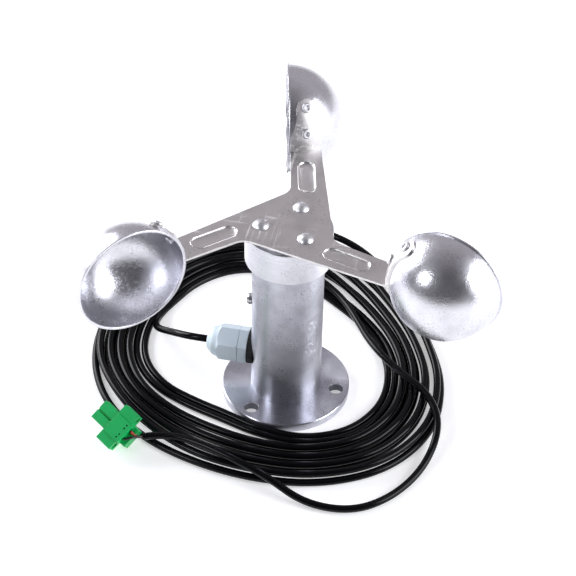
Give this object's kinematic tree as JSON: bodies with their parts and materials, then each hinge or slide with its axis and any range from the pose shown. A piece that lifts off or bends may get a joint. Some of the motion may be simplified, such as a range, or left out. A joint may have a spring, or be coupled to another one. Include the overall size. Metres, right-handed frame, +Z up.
{
  "type": "cup anemometer",
  "caption": "Wind speed sensor: hemispherical cups on a riveted sheet spider turn on a short tube that stands on a round bolted flange, with a coiled cable and a plug.",
  "frame": {"origin": "centre of the bolt circle on the underside of the base flange", "axes": "+Z up along the rotor's axis; +X through one bolt hole; the cable gland leaves towards -X"},
  "size_m": [0.2043, 0.1974, 0.1313],
  "materials": {
    "polished_aluminium": "polished, fine scratches",
    "turned_aluminium": "turned",
    "satin_sheet": "satin",
    "cup_aluminium": "spun and polished",
    "rivet_aluminium": "bright",
    "bearing_steel": "ground",
    "screw_steel": "zinc plated",
    "brass": "machined",
    "cage_nylon": "moulded",
    "board_laminate": "solder mask",
    "black_plastic": "moulded",
    "white_plastic": "moulded",
    "capacitor_sleeve": "shrink sleeve",
    "gland_nylon": "moulded nylon",
    "black_rubber": "moulded",
    "cable_jacket": "glossy jacket",
    "red_insulation": "glossy",
    "black_insulation": "glossy",
    "plug_green": "moulded"
  },
  "bodies": {
    "base": {"base_flange": "polished_aluminium", "base_seal": "black_rubber", "bearing_housing": "turned_aluminium", "black_core": "black_insulation", "board_capacitor": "capacitor_sleeve", "board_chips": "black_plastic", "board_posts": "brass", "board_screws": "screw_steel", "body_tube": "polished_aluminium", "cable_coil": "cable_jacket", "cable_lead": "cable_jacket", "cable_tail": "cable_jacket", "circuit_board": "board_laminate", "gland_body": "gland_nylon", "gland_locknut": "gland_nylon", "gland_nut": "gland_nylon", "gland_seal": "black_rubber", "gland_washer": "black_rubber", "gripped_cable": "cable_jacket", "inner_wires": "black_insulation", "light_gate": "black_plastic", "lock_screw": "screw_steel", "lower_outer_ring": "bearing_steel", "lower_shields": "bearing_steel", "lower_snap_ring": "screw_steel", "plug_clamp_screws": "screw_steel", "plug_clamps": "screw_steel", "plug_ear_screws": "screw_steel", "red_core": "red_insulation", "terminal_plug": "plug_green", "upper_outer_ring": "bearing_steel", "upper_shields": "bearing_steel", "upper_snap_ring": "screw_steel", "wire_socket": "white_plastic", "wire_socket_plug": "white_plastic"},
    "rotor": {"rotor_hub": "turned_aluminium", "spider": "satin_sheet", "hub_rivets": "rivet_aluminium", "cup_1": "cup_aluminium", "cup_2": "cup_aluminium", "cup_3": "cup_aluminium", "cup_rivets": "rivet_aluminium", "rotor_shaft": "bearing_steel", "bearing_spacer": "bearing_steel", "shaft_snap_ring": "screw_steel", "slotted_disc": "black_plastic", "disc_grub_screw": "screw_steel", "lower_inner_ring": "bearing_steel", "upper_inner_ring": "bearing_steel"},
    "lower_ball_set": {"lower_balls": "bearing_steel", "lower_cage": "cage_nylon"},
    "upper_ball_set": {"upper_balls": "bearing_steel", "upper_cage": "cage_nylon"}
  },
  "joints": [
    {"name": "rotor_spin", "type": "hinge", "parent": "base", "child": "rotor", "pos_m": [0, 0, 0.073], "axis": [0, 0, 1], "continuous": true},
    {"name": "lower_cage_turn", "type": "hinge", "parent": "base", "child": "lower_ball_set", "pos_m": [0, 0, 0.063], "axis": [0, 0, 1], "continuous": true},
    {"name": "upper_cage_turn", "type": "hinge", "parent": "base", "child": "upper_ball_set", "pos_m": [0, 0, 0.083], "axis": [0, 0, 1], "continuous": true}
  ],
  "couplings": [
    {"joint": "lower_cage_turn", "follows": "rotor_spin", "ratio": 0.36},
    {"joint": "upper_cage_turn", "follows": "rotor_spin", "ratio": 0.36}
  ]
}
